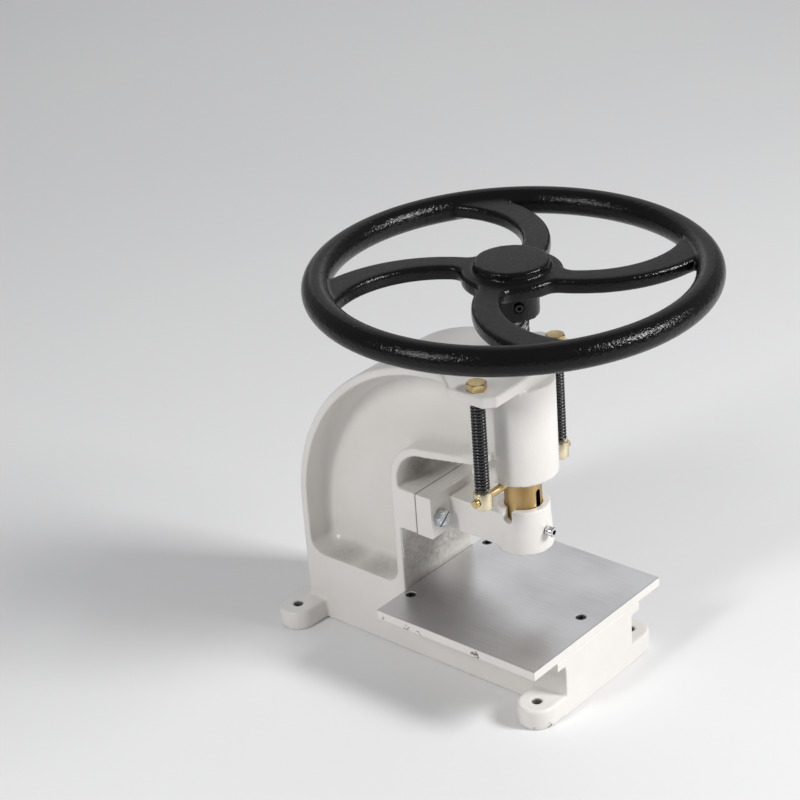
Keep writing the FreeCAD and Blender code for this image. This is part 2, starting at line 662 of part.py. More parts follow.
def spring(side, sign):
    """Extension spring: a helix whose ends bend upright and stand on their seats."""
    wire = size("dim.wire_d")
    radius = size("(dim.spring_d - dim.wire_d) / 2")
    turns = int(size("dim.spring_turns"))
    gap = size("dim.seat_gap")
    bottom = size(COLLAR_TOP) + gap
    top = size(PLATE_BOTTOM) - gap
    axis = FreeCAD.Vector(size(f"{sign}dim.spring_span / 2"), size(RAM_Y), 0)
    bend = wire
    rise = wire + bend
    first_z, last_z = bottom + rise, top - rise
    pitch = (last_z - first_z) / turns

    def point(turn):
        angle = 2 * math.pi * turn
        place = FreeCAD.Vector(radius * math.cos(angle), radius * math.sin(angle), first_z + pitch * turn)
        heading = FreeCAD.Vector(-math.sin(angle), math.cos(angle), pitch / (2 * math.pi * radius))
        return place + axis, heading.normalize()

    start, start_heading = point(0)
    end, end_heading = point(turns)
    up = FreeCAD.Vector(0, 0, 1)

    def upright(place, heading, way):
        """Bend from the helix to the vertical, then a straight run of one wire diameter."""
        flat = FreeCAD.Vector(heading.x, heading.y, 0).normalize()
        slope = math.atan2(heading.z, math.hypot(heading.x, heading.y))
        centre = place + (up * math.cos(slope) - flat * math.sin(slope)) * (bend * way)
        tip = centre + flat * (bend * way)
        middle_angle = (slope - math.pi / 2) / 2
        middle = centre + (flat * math.cos(middle_angle) + up * math.sin(middle_angle)) * (bend * way)
        return middle, tip

    low_middle, low_tip = upright(start, start_heading, -1)
    high_middle, high_tip = upright(end, end_heading, 1)
    low_end = FreeCAD.Vector(low_tip.x, low_tip.y, bottom)
    high_end = FreeCAD.Vector(high_tip.x, high_tip.y, top)
    edges = [Part.LineSegment(low_end, low_tip).toShape()]
    edges.append(Part.Arc(low_tip, low_middle, start).toShape())
    edges += helix_edges(point, 0, turns)
    edges.append(Part.Arc(end, high_middle, high_tip).toShape())
    edges.append(Part.LineSegment(high_tip, high_end).toShape())
    path = Part.Wire(edges)
    section = Part.Wire([Part.makeCircle(wire / 2, low_end, up)])
    tube = path.makePipeShell([section], True, False)
    least = min(
        (point(t / 16)[0] - point(t / 16 + 1)[0]).Length for t in range(16 * (turns - 1))
    ) - wire
    print(f"{side} spring: {turns} turns, pitch {pitch:.2f}, least gap to itself {least:.2f}")
    feature = doc.addObject("Part::Feature", f"{side}_spring")
    feature.Label = f"{side}_spring"
    feature.Shape = tube
    return feature


def ram():
    body = new_body("ram")
    rod = sketch_on(body, "XY_Plane", RAM_BOTTOM)
    circle(rod, "0", RAM_Y, "dim.ram_d / 2")
    extrude(body, "Pad", rod, "dim.ram_length")
    socket = sketch_on(body, "XY_Plane", RAM_TOP)
    circle(socket, "0", RAM_Y, "dim.socket_d / 2 + dim.running_gap")
    extrude(body, "Pocket", socket, "dim.socket_depth")
    die = sketch_on(body, "XY_Plane", RAM_BOTTOM)
    circle(die, "0", RAM_Y, "dim.die_bore_d / 2")
    extrude(body, "Pocket", die, "dim.die_bore_depth", reverse=True)
    cross = sketch_on(body, "YZ_Plane")
    circle(cross, RAM_Y, PIN_Z, "dim.pin_d / 2 + dim.running_gap")
    extrude(body, "Pocket", cross, "2 * dim.ram_d", both=True)
    keyway = sketch_on(body, "XZ_Plane", f"-({RAM_Y} - dim.ram_d / 2)")
    wide = "(dim.guide_screw_d / 2 + dim.stop_gap)"
    outline(keyway, [
        (f"-{wide}", GUIDE_Z, wide, 1),
        ("0", f"{GUIDE_Z} - {wide}", wide, 1),
        (wide, GUIDE_Z),
        (wide, f"{GUIDE_Z} + dim.stroke", wide, 1),
        ("0", f"{GUIDE_Z} + dim.stroke + {wide}", wide, 1),
        (f"-{wide}", f"{GUIDE_Z} + dim.stroke"),
    ])
    extrude(body, "Pocket", keyway, "dim.key_depth")
    screws = sketch_on(body, "XZ_Plane", f"-{RAM_Y}")
    circle(screws, "0", GROOVE_Z, "dim.retainer_d / 2 + dim.running_gap")
    extrude(body, "Pocket", screws, "2 * dim.ram_d", both=True)
    return body


def thrust_washer():
    washer = cylinder(
        "thrust_washer", "dim.socket_d / 2", "dim.washer_thick", "0", RAM_Y, SOCKET_FLOOR)
    washer.Label = "thrust_washer"
    return washer


def retaining_screws():
    reach = "(dim.ram_d - dim.socket_d) / 2 + dim.groove_depth - 2 * dim.stop_gap"
    outer = "(dim.ram_d / 2 - dim.stop_gap)"
    screws = [
        cylinder(f"{name}_retainer", "dim.retainer_d / 2", reach,
                 "0", f"{RAM_Y} {way} {outer}", GROOVE_Z, X_AXIS, turn)
        for name, way, turn in (("front", "-", -QUARTER), ("rear", "+", QUARTER))
    ]
    return group("retaining_screws", *screws)


def cross_pin():
    pin = cylinder(
        "cross_pin", "dim.pin_d / 2", "dim.pin_length",
        "-dim.pin_length / 2", RAM_Y, PIN_Z, Y_AXIS, QUARTER)
    pin.Label = "cross_pin"
    return pin


def spring_collar(side, sign):
    x = f"{sign}dim.spring_span / 2"
    body = cylinder(
        f"{side}_collar_body", "dim.collar_d / 2", "dim.collar_height",
        x, RAM_Y, f"{PIN_Z} - dim.collar_height / 2")
    bore = cylinder(
        f"{side}_collar_bore", "dim.pin_d / 2 + dim.running_gap", "2 * dim.collar_d",
        f"{x} - dim.collar_d", RAM_Y, PIN_Z, Y_AXIS, QUARTER)
    return cut(f"{side}_spring_collar", body, bore)


def spindle():
    body = new_body("spindle")
    screw = sketch_on(body, "XY_Plane", f"{RAM_TOP} + dim.collar_gap")
    circle(screw, "0", RAM_Y, "dim.spindle_d / 2")
    extrude(body, "Pad", screw, f"{BOSS_BOTTOM} - {RAM_TOP} - dim.collar_gap")
    journal = sketch_on(body, "XY_Plane", JOURNAL_END)
    circle(journal, "0", RAM_Y, "dim.socket_d / 2")
    extrude(body, "Pad", journal, f"{RAM_TOP} + dim.collar_gap - {JOURNAL_END}")
    stem = sketch_on(body, "XY_Plane", BOSS_BOTTOM)
    circle(stem, "0", RAM_Y, "dim.stem_d / 2")
    extrude(body, "Pad", stem, f"{STEM_TOP} - {BOSS_BOTTOM}")
    groove = sketch_on(body, "XY_Plane", f"{GROOVE_Z} - dim.groove_width / 2")
    circle(groove, "0", RAM_Y, "dim.socket_d")
    circle(groove, "0", RAM_Y, "dim.socket_d / 2 - dim.groove_depth")
    extrude(body, "Pocket", groove, "dim.groove_width", reverse=True)
    keyway = sketch_on(body, "XY_Plane", BOSS_BOTTOM)
    wide = "dim.key_width / 2"
    rectangle(keyway, f"-{wide}", f"{RAM_Y} + dim.stem_d / 2 - dim.key_rise",
              wide, f"{RAM_Y} + dim.stem_d")
    extrude(body, "Pocket", keyway, "dim.key_length", reverse=True)
    return body


def hub_key():
    key = doc.addObject("Part::Box", "hub_key")
    key.Label = "hub_key"
    key.setExpression("Length", "dim.key_width - 2 * dim.running_gap")
    key.setExpression("Width", "2 * dim.key_rise - 2 * dim.running_gap")
    key.setExpression("Height", "dim.key_length - 2 * dim.running_gap")
    key.setExpression("Placement.Base.x", "-dim.key_width / 2 + dim.running_gap")
    key.setExpression("Placement.Base.y", f"{RAM_Y} + dim.stem_d / 2 - dim.key_rise + dim.running_gap")
    key.setExpression("Placement.Base.z", f"{BOSS_BOTTOM} + dim.running_gap")
    doc.recompute()
    return key


def on_wheel(radius, angle):
    """Sheet expressions of a point given by radius and angle about the spindle."""
    return f"{radius} * cos({angle})", f"{RAM_Y} + {radius} * sin({angle})"


def arc_radius(*points):
    """Radius, as a number, of the circle through three points given as expressions."""
    a, b, c = (FreeCAD.Vector(size(x), size(y), 0) for x, y in points)
    return (b - a).Length * (c - b).Length * (a - c).Length / (2 * (b - a).cross(c - a).Length)


def web_corner(edge):
    """Whether an edge of the spokes stands upright on the outside of the web."""
    ends = [vertex.Point for vertex in edge.Vertexes]
    if len(ends) != 2 or abs(ends[0].z - ends[1].z) < size("dim.spoke_thick") / 2:
        return False
    away = FreeCAD.Vector(ends[0].x, ends[0].y - size(RAM_Y), 0).Length
    return abs(away - size("dim.web_d") / 2) < size("dim.running_gap")


def wheel_spokes():
    """Flat spokes swept between two arcs that flare at the web round the hub and at the rim."""
    body = new_body("wheel_spokes")
    body.AllowCompound = True
    inner = "(dim.boss_d / 2)"
    middle = f"(({inner} + {RIM_R}) / 2)"
    spoke = sketch_on(body, "XY_Plane", SPOKE_BOTTOM)
    lead = [on_wheel(inner, "dim.spoke_lead_hub"), on_wheel(middle, "dim.spoke_lead_mid"),
            on_wheel(RIM_R, "dim.spoke_lead_rim")]
    trail = [on_wheel(RIM_R, "dim.spoke_trail_rim"), on_wheel(middle, "dim.spoke_trail_mid"),
             on_wheel(inner, "dim.spoke_trail_hub")]
    outline(spoke, [
        (*lead[0], f"{arc_radius(*lead)}", bend_of(lead)),
        lead[2],
        (*trail[0], f"{arc_radius(*trail)}", bend_of(trail)),
        trail[2],
    ])
    extrude(body, "Pad", spoke, "dim.spoke_thick")
    axis = sketch_on(body, "XY_Plane")
    axis.setExpression("AttachmentOffset.Base.y", RAM_Y)
    pattern = body.newObject("PartDesign::PolarPattern", "wheel_spoke_pattern")
    pattern.TransformMode = "Whole shape"
    pattern.Axis = (axis, ["N_Axis"])
    pattern.Angle = 360
    pattern.setExpression("Occurrences", "dim.spokes")
    body.Tip = pattern
    web = sketch_on(body, "XY_Plane", SPOKE_BOTTOM)
    circle(web, "0", RAM_Y, "dim.web_d / 2")
    extrude(body, "Pad", web, "dim.spoke_thick")
    round_edges(body, web_corner, "dim.web_round")
    round_edges(body, lambda edge: isinstance(edge.Curve, Part.Circle), "dim.spoke_round")
    return body


def handwheel():
    """Cast wheel: round rim, spokes and hub, with the bore, keyway and set screw tap."""
    hub = new_body("wheel_hub")
    boss = sketch_on(hub, "XY_Plane", BOSS_BOTTOM)
    circle(boss, "0", RAM_Y, "dim.boss_d / 2")
    extrude(hub, "Pad", boss, f"{SPOKE_TOP} - {BOSS_BOTTOM}")
    disc = sketch_on(hub, "XY_Plane", SPOKE_BOTTOM)
    circle(disc, "0", RAM_Y, "dim.hub_d / 2")
    extrude(hub, "Pad", disc, f"{HUB_TOP} - {SPOKE_BOTTOM}")
    rim = doc.addObject("Part::Torus", "wheel_rim")
    rim.setExpression("Radius1", RIM_R)
    rim.setExpression("Radius2", "dim.wheel_rim_d / 2")
    rim.setExpression("Placement.Base.y", RAM_Y)
    rim.setExpression("Placement.Base.z", "dim.wheel_height")
    spider = fuse("wheel_spider", hub, wheel_spokes())
    casting = fuse("wheel_casting", spider, rim)
    bore = cylinder("wheel_bore", "dim.stem_d / 2 + dim.running_gap",
                    f"{STEM_TOP} - {BOSS_BOTTOM} + dim.running_gap", "0", RAM_Y, BOSS_BOTTOM)
    slot = doc.addObject("Part::Box", "wheel_keyway")
    slot.setExpression("Length", "dim.key_width")
    slot.setExpression("Width", "dim.stem_d / 2 + dim.key_rise")
    slot.setExpression("Height", "dim.key_length")
    slot.setExpression("Placement.Base.x", "-dim.key_width / 2")
    slot.setExpression("Placement.Base.y", RAM_Y)
    slot.setExpression("Placement.Base.z", BOSS_BOTTOM)
    tap = hub_screw_solid("hub_screw_tap", "dim.running_gap")
    return cut("handwheel", casting, bore, slot, tap)


def hub_screw_solid(name, wider="0"):
    """A rod from the spindle top out to the boss face, in the set screw's direction."""
    start = "(dim.stem_d / 2 + dim.running_gap)"
    x, y = on_wheel(start, "dim.hub_screw_angle")
    rod = cylinder(name, f"dim.hub_screw_d / 2 + {wider}", f"dim.boss_d / 2 - {start}", x, y, SCREW_Z)
    rod.Placement.Rotation = FreeCAD.Rotation(size("dim.hub_screw_angle"), QUARTER, 0)
    return rod


def hub_set_screw():
    screw = hub_screw_solid("hub_set_screw")
    screw.Label = "hub_set_screw"
    return screw


def bend_of(points):
    """1 where the three points turn counter-clockwise, -1 where they turn clockwise."""
    a, b, c = (FreeCAD.Vector(size(x), size(y), 0) for x, y in points)
    return 1 if (b - a).cross(c - b).z > 0 else -1


def build():
    parts = [
        frame_casting(), cutting_table(), table_screws(), guide_bracket(), bracket_bolts(),
        guide_screw(), lead_nut(), nut_lock_screw(), ram(), thrust_washer(), retaining_screws(),
        cross_pin(), spindle(), hub_key(), handwheel(), hub_set_screw(),
    ]
    for side, sign in SIDES:
        parts += [spring_bolt(side, sign), spring(side, sign), spring_collar(side, sign)]
    return parts


def write(parts):
    doc.recompute()
    for item in doc.Objects:
        if "Invalid" in item.State or "Error" in item.State:
            raise ValueError(f"{item.Name} failed: {item.State}")
    for part in parts:
        if part.Shape.isNull() or not part.Shape.isValid():
            raise ValueError(f"{part.Label} has no valid shape")
    os.makedirs("parts", exist_ok=True)
    for part in parts:
        part.Shape.exportStep(f"parts/{part.Label}.step")


write(build())
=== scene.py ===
import bpy
import bmesh
import math
from mathutils import Matrix, Vector


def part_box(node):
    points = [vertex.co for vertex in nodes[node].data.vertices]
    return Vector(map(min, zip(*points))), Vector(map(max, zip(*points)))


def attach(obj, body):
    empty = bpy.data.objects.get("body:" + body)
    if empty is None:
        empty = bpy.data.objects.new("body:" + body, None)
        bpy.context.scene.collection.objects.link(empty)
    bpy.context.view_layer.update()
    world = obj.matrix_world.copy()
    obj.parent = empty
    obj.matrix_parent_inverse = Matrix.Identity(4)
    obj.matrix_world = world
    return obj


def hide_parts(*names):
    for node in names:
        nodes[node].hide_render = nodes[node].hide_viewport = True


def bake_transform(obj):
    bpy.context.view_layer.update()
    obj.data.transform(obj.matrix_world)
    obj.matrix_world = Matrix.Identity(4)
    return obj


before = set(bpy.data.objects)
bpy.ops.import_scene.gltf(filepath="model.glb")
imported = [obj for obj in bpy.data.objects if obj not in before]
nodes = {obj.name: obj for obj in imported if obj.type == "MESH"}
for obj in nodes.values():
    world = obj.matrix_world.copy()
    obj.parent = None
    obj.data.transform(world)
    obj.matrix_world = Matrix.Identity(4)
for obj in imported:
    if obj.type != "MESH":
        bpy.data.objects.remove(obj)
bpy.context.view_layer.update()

# Shared places, in metres in the CAD's frame, and turns of a piece that stands upright
RAM_Y = -0.092
SPRING_X = 0.062
TAU = 2 * math.pi
UNMOVED = Matrix.Identity(4)
TO_FRONT = Matrix.Rotation(math.radians(90), 4, "X")
TO_RIGHT = Matrix.Rotation(math.radians(90), 4, "Y")

# Corners round a hexagon head and a hexagon socket
HEAD_STEPS = 96
SOCKET_STEPS = 48


class Look:
    """A procedural material: one shader and the textures that feed it, in object coordinates."""

    def __init__(self, name, colour, metallic, roughness, **sockets):
        self.material = bpy.data.materials.new(name)
        self.material.use_nodes = True
        self.tree = self.material.node_tree
        self.shader = self.tree.nodes["Principled BSDF"]
        self.shader.inputs["Base Color"].default_value = (*colour, 1)
        self.shader.inputs["Metallic"].default_value = metallic
        self.shader.inputs["Roughness"].default_value = roughness
        for socket, value in sockets.items():
            self.shader.inputs[socket.replace("_", " ")].default_value = value
        self.place = self.tree.nodes.new("ShaderNodeTexCoord").outputs["Object"]
        self.normal = None

    def node(self, kind, **settings):
        made = self.tree.nodes.new(kind)
        for key, value in settings.items():
            setattr(made, key, value)
        return made

    def link(self, source, target):
        self.tree.links.new(source, target)

    def noise(self, scale, detail=4, roughness=0.5, stretch=(1, 1, 1)):
        spread = self.node("ShaderNodeMapping")
        spread.inputs["Scale"].default_value = stretch
        self.link(self.place, spread.inputs["Vector"])
        grain = self.node("ShaderNodeTexNoise")
        grain.inputs["Scale"].default_value = scale
        grain.inputs["Detail"].default_value = detail
        grain.inputs["Roughness"].default_value = roughness
        self.link(spread.outputs["Vector"], grain.inputs["Vector"])
        return grain.outputs["Fac"]

    def ramp(self, source, low, high, to_low=0, to_high=1):
        span = self.node("ShaderNodeMapRange")
        span.inputs["From Min"].default_value = low
        span.inputs["From Max"].default_value = high
        span.inputs["To Min"].default_value = to_low
        span.inputs["To Max"].default_value = to_high
        self.link(source, span.inputs["Value"])
        return span.outputs["Result"]

    def math(self, operation, a, b):
        made = self.node("ShaderNodeMath", operation=operation)
        for socket, value in zip(made.inputs, (a, b)):
            if isinstance(value, (int, float)):
                socket.default_value = value
            else:
                self.link(value, socket)
        return made.outputs["Value"]

    def near(self, spots, core):
        """Nearness to any of the spots, each a place and its reach; full within core x reach."""
        share = None
        for x, y, z, reach in spots:
            away = self.node("ShaderNodeVectorMath", operation="DISTANCE")
            self.link(self.place, away.inputs[0])
            away.inputs[1].default_value = (x, y, z)
            spot = self.ramp(away.outputs["Value"], reach, reach * core)
            share = self.math("MAXIMUM", share, spot) if share else spot
        return share

    def seam(self):
        """A line on the joint of guide bracket and column."""
        margin_z, margin_x = 0.004, 0.002
        faint, full = 0.0011, 0.0005
        split = self.node("ShaderNodeSeparateXYZ")
        self.link(self.place, split.inputs["Vector"])
        low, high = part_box("guide_bracket")
        middle = (low.z + high.z) / 2
        away = self.math("ABSOLUTE", self.math("SUBTRACT", split.outputs["Y"], high.y), 0)
        aside = self.math("ABSOLUTE", split.outputs["X"], 0)
        level = self.math("ABSOLUTE", self.math("SUBTRACT", split.outputs["Z"], middle), 0)
        within = self.math("LESS_THAN", level, (high.z - low.z) / 2 + margin_z)
        beside = self.math("LESS_THAN", aside, high.x + margin_x)
        line = self.ramp(away, faint, full)
        return self.math("MULTIPLY", line, self.math("MULTIPLY", within, beside))

    def facing(self, letter):
        """The share of one axis in the surface's own direction."""
        split = self.node("ShaderNodeSeparateXYZ")
        self.link(self.node("ShaderNodeNewGeometry").outputs["True Normal"], split.inputs["Vector"])
        return split.outputs[letter]

    def colours(self, share, first, second):
        mixed = self.node("ShaderNodeMix", data_type="RGBA")
        self.link(share, mixed.inputs["Factor"])
        for socket, value in ((mixed.inputs["A"], first), (mixed.inputs["B"], second)):
            if isinstance(value, tuple):
                socket.default_value = (*value, 1)
            else:
                self.link(value, socket)
        return mixed.outputs["Result"]

    def paint(self, colour):
        self.link(colour, self.shader.inputs["Base Color"])

    def dull(self, roughness):
        self.link(roughness, self.shader.inputs["Roughness"])

    def bump(self, height, distance, strength=1.0):
        made = self.node("ShaderNodeBump")
        made.inputs["Distance"].default_value = distance
        made.inputs["Strength"].default_value = strength
        self.link(height, made.inputs["Height"])
        if self.normal:
            self.link(self.normal, made.inputs["Normal"])
        self.normal = made.outputs["Normal"]
        self.link(self.normal, self.shader.inputs["Normal"])


# Chipped paint: place and reach, on the table's side edges, the base and the feet
CHIPS = (
    (-0.1055, -0.018, 0.0685, 0.007), (-0.1055, -0.033, 0.0672, 0.006), (-0.1055, -0.106, 0.0690, 0.009),
    (-0.1055, 0.012, 0.0700, 0.003), (-0.056, -0.02, 0.035, 0.004), (-0.083, -0.177, 0.004, 0.006),
    (-0.094, -0.168, 0.003, 0.005), (0.1055, -0.06, 0.0688, 0.004), (0.06, 0.164, 0.02, 0.005),
)
# Painted shade, with some grime: on the column under the bracket and in the throat
FRONT_SHADE_AND_GRIME = (
    (0.0, 0.027, 0.115, 0.07), (-0.03, 0.027, 0.115, 0.052), (0.03, 0.027, 0.115, 0.052),
    (-0.02, 0.02, 0.215, 0.034), (0.02, 0.02, 0.215, 0.034),
)
# Painted shade, with some grime: on the floors of the recesses
FLOOR_SHADE_AND_GRIME = [(x, y, 0.086, 0.036) for x in (-0.04, 0.04) for y in (0.07, 0.12)]
# Painted shade on the walls and rims of the foot holes
FOOT_HOLES = [(x, y, 0.011, 0.0124) for x in (-0.079, 0.079) for y in (-0.16, 0.16)]
# Stretch of a noise that makes turning marks round an upright piece
RINGS = (0.05, 0.05, 1)


def cream_paint():
    """Gloss paint on cast iron: flow marks, orange peel, painted shade with some grime under the bracket, in
    the throat and on the recess floors, painted shade in the foot holes, and chips.
    """
    look = Look("cream_paint", (0.74, 0.715, 0.685), 0, 0.34, Coat_Weight=0.25, Coat_Roughness=0.18)
    flow = look.ramp(look.noise(14, 5, 0.6), 0.35, 0.68)
    tone = look.colours(flow, (0.755, 0.73, 0.70), (0.715, 0.69, 0.655))
    speckle = look.ramp(look.noise(190, 5, 0.75), 0.3, 0.66, 0.6, 1)
    # Painted shade, with some grime: speckled darkening of upward faces on the recess floors
    upward = look.ramp(look.facing("Z"), 0.25, 0.8, 0, 0.6)
    floors = look.math("MULTIPLY", look.near(FLOOR_SHADE_AND_GRIME, 0.3), upward)
    # Painted shade, with some grime: speckled darkening of forward faces on the column under the bracket and
    # in the throat
    level = look.ramp(look.math("ABSOLUTE", look.facing("X"), 0), 0.6, 0.3)
    ahead = look.math("MULTIPLY", level, look.ramp(look.facing("Y"), 0.5, 0.2))
    fronts = look.math("MULTIPLY", look.near(FRONT_SHADE_AND_GRIME, 0.4), ahead)
    # The painted shade with some grime, speckled, mixed into the paint colour
    shade_and_grime = look.math("MULTIPLY", look.math("MAXIMUM", fronts, floors), speckle)
    tone = look.colours(look.math("MULTIPLY", shade_and_grime, 0.9), tone, (0.21, 0.195, 0.17))
    tone = look.colours(look.math("MULTIPLY", look.seam(), 0.85), tone, (0.06, 0.055, 0.05))
    # Painted shade: the walls and rims of the foot holes darkened
    holes = look.math("MULTIPLY", look.near(FOOT_HOLES, 0.85), 0.9)
    tone = look.colours(holes, tone, (0.05, 0.048, 0.045))
    ragged = look.noise(330, 5, 0.75, (1, 0.55, 1))
    bare = look.ramp(look.math("MULTIPLY", look.near(CHIPS, 0.6), ragged), 0.51, 0.54)
    look.paint(look.colours(bare, tone, (0.085, 0.08, 0.075)))
    look.dull(look.ramp(look.noise(34, 4), 0.3, 0.7, 0.28, 0.44))
    look.bump(look.noise(48, 3, 0.55), 0.0012, 0.35)
    look.bump(look.noise(420, 2, 0.5), 0.00025, 0.4)
    return look.material


def wheel_paint():
    """Black paint on a rough casting; the flat tops are fettled smoother and duller."""
    look = Look("wheel_black", (0.006, 0.006, 0.0065), 0, 0.27, Specular_IOR_Level=0.22)
    flat = look.ramp(look.facing("Z"), 0.93, 0.985)
    look.paint(look.colours(flat, (0.003, 0.003, 0.0034), (0.005, 0.0049, 0.0058)))
    grain = look.ramp(look.noise(300, 3, 0.6), 0.25, 0.75, 0.1, 0.22)
    look.dull(look.math("ADD", grain, look.math("MULTIPLY", flat, 0.3)))
    rough = look.ramp(flat, 0, 1, 1, 0.15)
    look.bump(look.math("MULTIPLY", look.noise(430, 2, 0.5), rough), 0.0011, 0.55)
    look.bump(look.math("MULTIPLY", look.noise(150, 2, 0.5), rough), 0.001, 0.3)
    return look.material


def ground_steel():
    """Surface-ground plate: fine parallel lines, clouds of tone and a faint mottling of the gloss."""
    look = Look("ground_steel", (0.62, 0.62, 0.635), 1, 0.32)
    lines = look.noise(520, 3, 0.6, (1, 0.03, 1))
    cloud = look.ramp(look.noise(17, 2, 0.5), 0.3, 0.7)
    tone = look.colours(cloud, (0.66, 0.66, 0.675), (0.56, 0.555, 0.56))
    look.paint(look.colours(look.ramp(lines, 0.3, 0.7, 0, 0.45), tone, (0.74, 0.74, 0.76)))
    mottle = look.ramp(look.noise(700, 3, 0.6), 0.3, 0.7, -0.02, 0.02)
    look.dull(look.math("ADD", mottle, look.ramp(cloud, 0, 1, 0.3, 0.36)))
    return look.material


def plated(name, light, dark, roughness, grain=90, marks=None):
    """Plated or turned metal with clouded colour and, where it was turned, fine marks."""
    look = Look(name, light, 1, roughness)
    look.paint(look.colours(look.ramp(look.noise(grain, 4, 0.6), 0.3, 0.72), light, dark))
    look.dull(look.ramp(look.noise(grain * 2, 3), 0.3, 0.7, roughness - 0.06, roughness + 0.08))
    if marks:
        look.bump(look.noise(900, 2, 0.5, marks), 0.00006, 0.5)
    return look.material


def oxide(name, roughness, rub=0.6, oil=0.0):
    """Black oxide on steel, with an oily sheen and paler rubbed spots."""
    look = Look(name, (0.03, 0.03, 0.033), 0.5, roughness, Coat_Weight=oil, Coat_Roughness=0.16)
    rubbed = look.ramp(look.noise(240, 4, 0.65), 0.5, 0.78, 0, rub)
    look.paint(look.colours(rubbed, (0.015, 0.015, 0.017), (0.10, 0.10, 0.105)))
    look.dull(look.ramp(look.noise(120, 3), 0.3, 0.7, roughness - 0.07, roughness + 0.1))
    return look.material


def brass_ram():
    """Yellow-finished ram with turning marks, slightly browned streaks, and painted shade with some grease
    on the inner walls.
    """
    wall_from, wall_full = 0.0187, 0.0182
    look = Look("ram_finish", (0.50, 0.34, 0.14), 1, 0.36)
    streak = look.noise(60, 5, 0.6, (1, 1, 0.25))
    tone = look.colours(look.ramp(streak, 0.34, 0.7), (0.53, 0.38, 0.18), (0.38, 0.24, 0.10))
    away = look.node("ShaderNodeVectorMath", operation="DISTANCE")
    flat = look.node("ShaderNodeVectorMath", operation="MULTIPLY")
    look.link(look.place, flat.inputs[0])
    flat.inputs[1].default_value = (1, 1, 0)
    look.link(flat.outputs["Vector"], away.inputs[0])
    away.inputs[1].default_value = (0, RAM_Y, 0)
    # Painted shade, with some grease: the inner walls of the keyway and bores darkened, not the end faces
    inside = look.ramp(away.outputs["Value"], wall_from, wall_full)
    upright = look.ramp(look.math("ABSOLUTE", look.facing("Z"), 0), 0.5, 0.4)
    look.paint(look.colours(look.math("MULTIPLY", inside, upright), tone, (0.05, 0.044, 0.04)))
    look.dull(look.ramp(streak, 0.3, 0.7, 0.3, 0.44))
    look.bump(look.noise(700, 2, 0.5, RINGS), 0.00008, 0.5)
    return look.material


PAINT = cream_paint()
BLACK = wheel_paint()
STEEL = ground_steel()
ZINC = plated("bright_zinc", (0.70, 0.73, 0.76), (0.50, 0.54, 0.58), 0.24)
CHROME = plated("chrome", (0.78, 0.78, 0.80), (0.66, 0.66, 0.68), 0.12)
GOLD = plated("yellow_zinc", (0.66, 0.51, 0.27), (0.56, 0.42, 0.21), 0.28, 60)
PALE = plated("pale_zinc", (0.84, 0.75, 0.55), (0.70, 0.61, 0.42), 0.26, 70, RINGS)
BRONZE = plated("bronze", (0.52, 0.34, 0.17), (0.36, 0.22, 0.10), 0.34, 80, RINGS)
OILED = plated("oiled_steel", (0.30, 0.295, 0.29), (0.16, 0.155, 0.15), 0.32, 60)
OXIDE = oxide("black_oxide", 0.32)
SPRING = oxide("spring_black", 0.24, 0.05, 0.8)
BRASS = brass_ram()


def ring(radius, height, steps=64):
    """Points round the Z axis; radius and height may each be a function of the angle."""
    points = []
    for i in range(steps):
        angle = TAU * i / steps
        r = radius(angle) if callable(radius) else radius
        z = height(angle) if callable(height) else height
        points.append(Vector((r * math.cos(angle), r * math.sin(angle), z)))
    return points


def skin(rings):
    """Points and faces of the surface through rings of equal count, with both ends capped."""
    count = len(rings[0])
    points = [p for circle in rings for p in circle]
    faces = []
    for i in range(len(rings) - 1):
        a, b = i * count, (i + 1) * count
        for j in range(count):
            k = (j + 1) % count
            faces.append((a + j, a + k, b + k, b + j))
    faces.append(tuple(reversed(range(count))))
    faces.append(tuple(range(len(points) - count, len(points))))
    return points, faces


def turned(profile, steps=64):
    """A turned solid from (radius, height) pairs, from its lower to its upper end."""
    return skin([ring(r, z, steps) for r, z in profile])


def hexagon_at(flats):
    """The radius of a hexagon of this width over its flats, as a function of the angle."""
    sixth = TAU / 6
    return lambda angle: flats / 2 / math.cos(angle % sixth - sixth / 2)


def socket_shape(flats, floor, mouth):
    """A hexagon socket to carve, from its floor up to its mouth."""
    return skin([ring(hexagon_at(flats), z, SOCKET_STEPS) for z in (floor, mouth)])


def hexagon_head(flats, height, base=0.0):
    """Rings of a chamfered hexagon head that stands on base."""
    edge = hexagon_at(flats)
    face_r, flat = 0.94 * flats / 2, 0.475 * flats
    lift, drop, crown = 0.0003, 0.0001, 0.00008
    slope = math.tan(math.radians(30))
    top = base + height
    return [
        ring(face_r, base, HEAD_STEPS), ring(edge, base + lift, HEAD_STEPS),
        ring(edge, lambda a: top - drop - (edge(a) - flat) * slope, HEAD_STEPS),
        ring(flat, top, HEAD_STEPS), ring(flat * 0.5, top + crown, HEAD_STEPS),
    ]


def box_shape(low, high):
    """A box between two corners."""
    (x0, y0, z0), (x1, y1, z1) = low, high
    lower = [Vector(p) for p in ((x0, y0, z0), (x1, y0, z0), (x1, y1, z0), (x0, y1, z0))]
    return skin([lower, [Vector((p.x, p.y, z1)) for p in lower]])


def at(x, y, z, turn=UNMOVED):
    """The placement of a shape that is turned and then moved."""
    return Matrix.Translation((x, y, z)) @ turn


def joined(name, shapes):
    """One mesh object from (points, faces) shapes, each with its own placement."""
    mesh = bpy.data.meshes.new(name)
    build = bmesh.new()
    for (points, faces), place in shapes:
        made = [build.verts.new(place @ Vector(p)) for p in points]
        for face in faces:
            build.faces.new([made[i] for i in face])
    bmesh.ops.recalc_face_normals(build, faces=build.faces)
    build.to_mesh(mesh)
    build.free()
    piece = bpy.data.objects.new(name, mesh)
    bpy.context.scene.collection.objects.link(piece)
    return piece


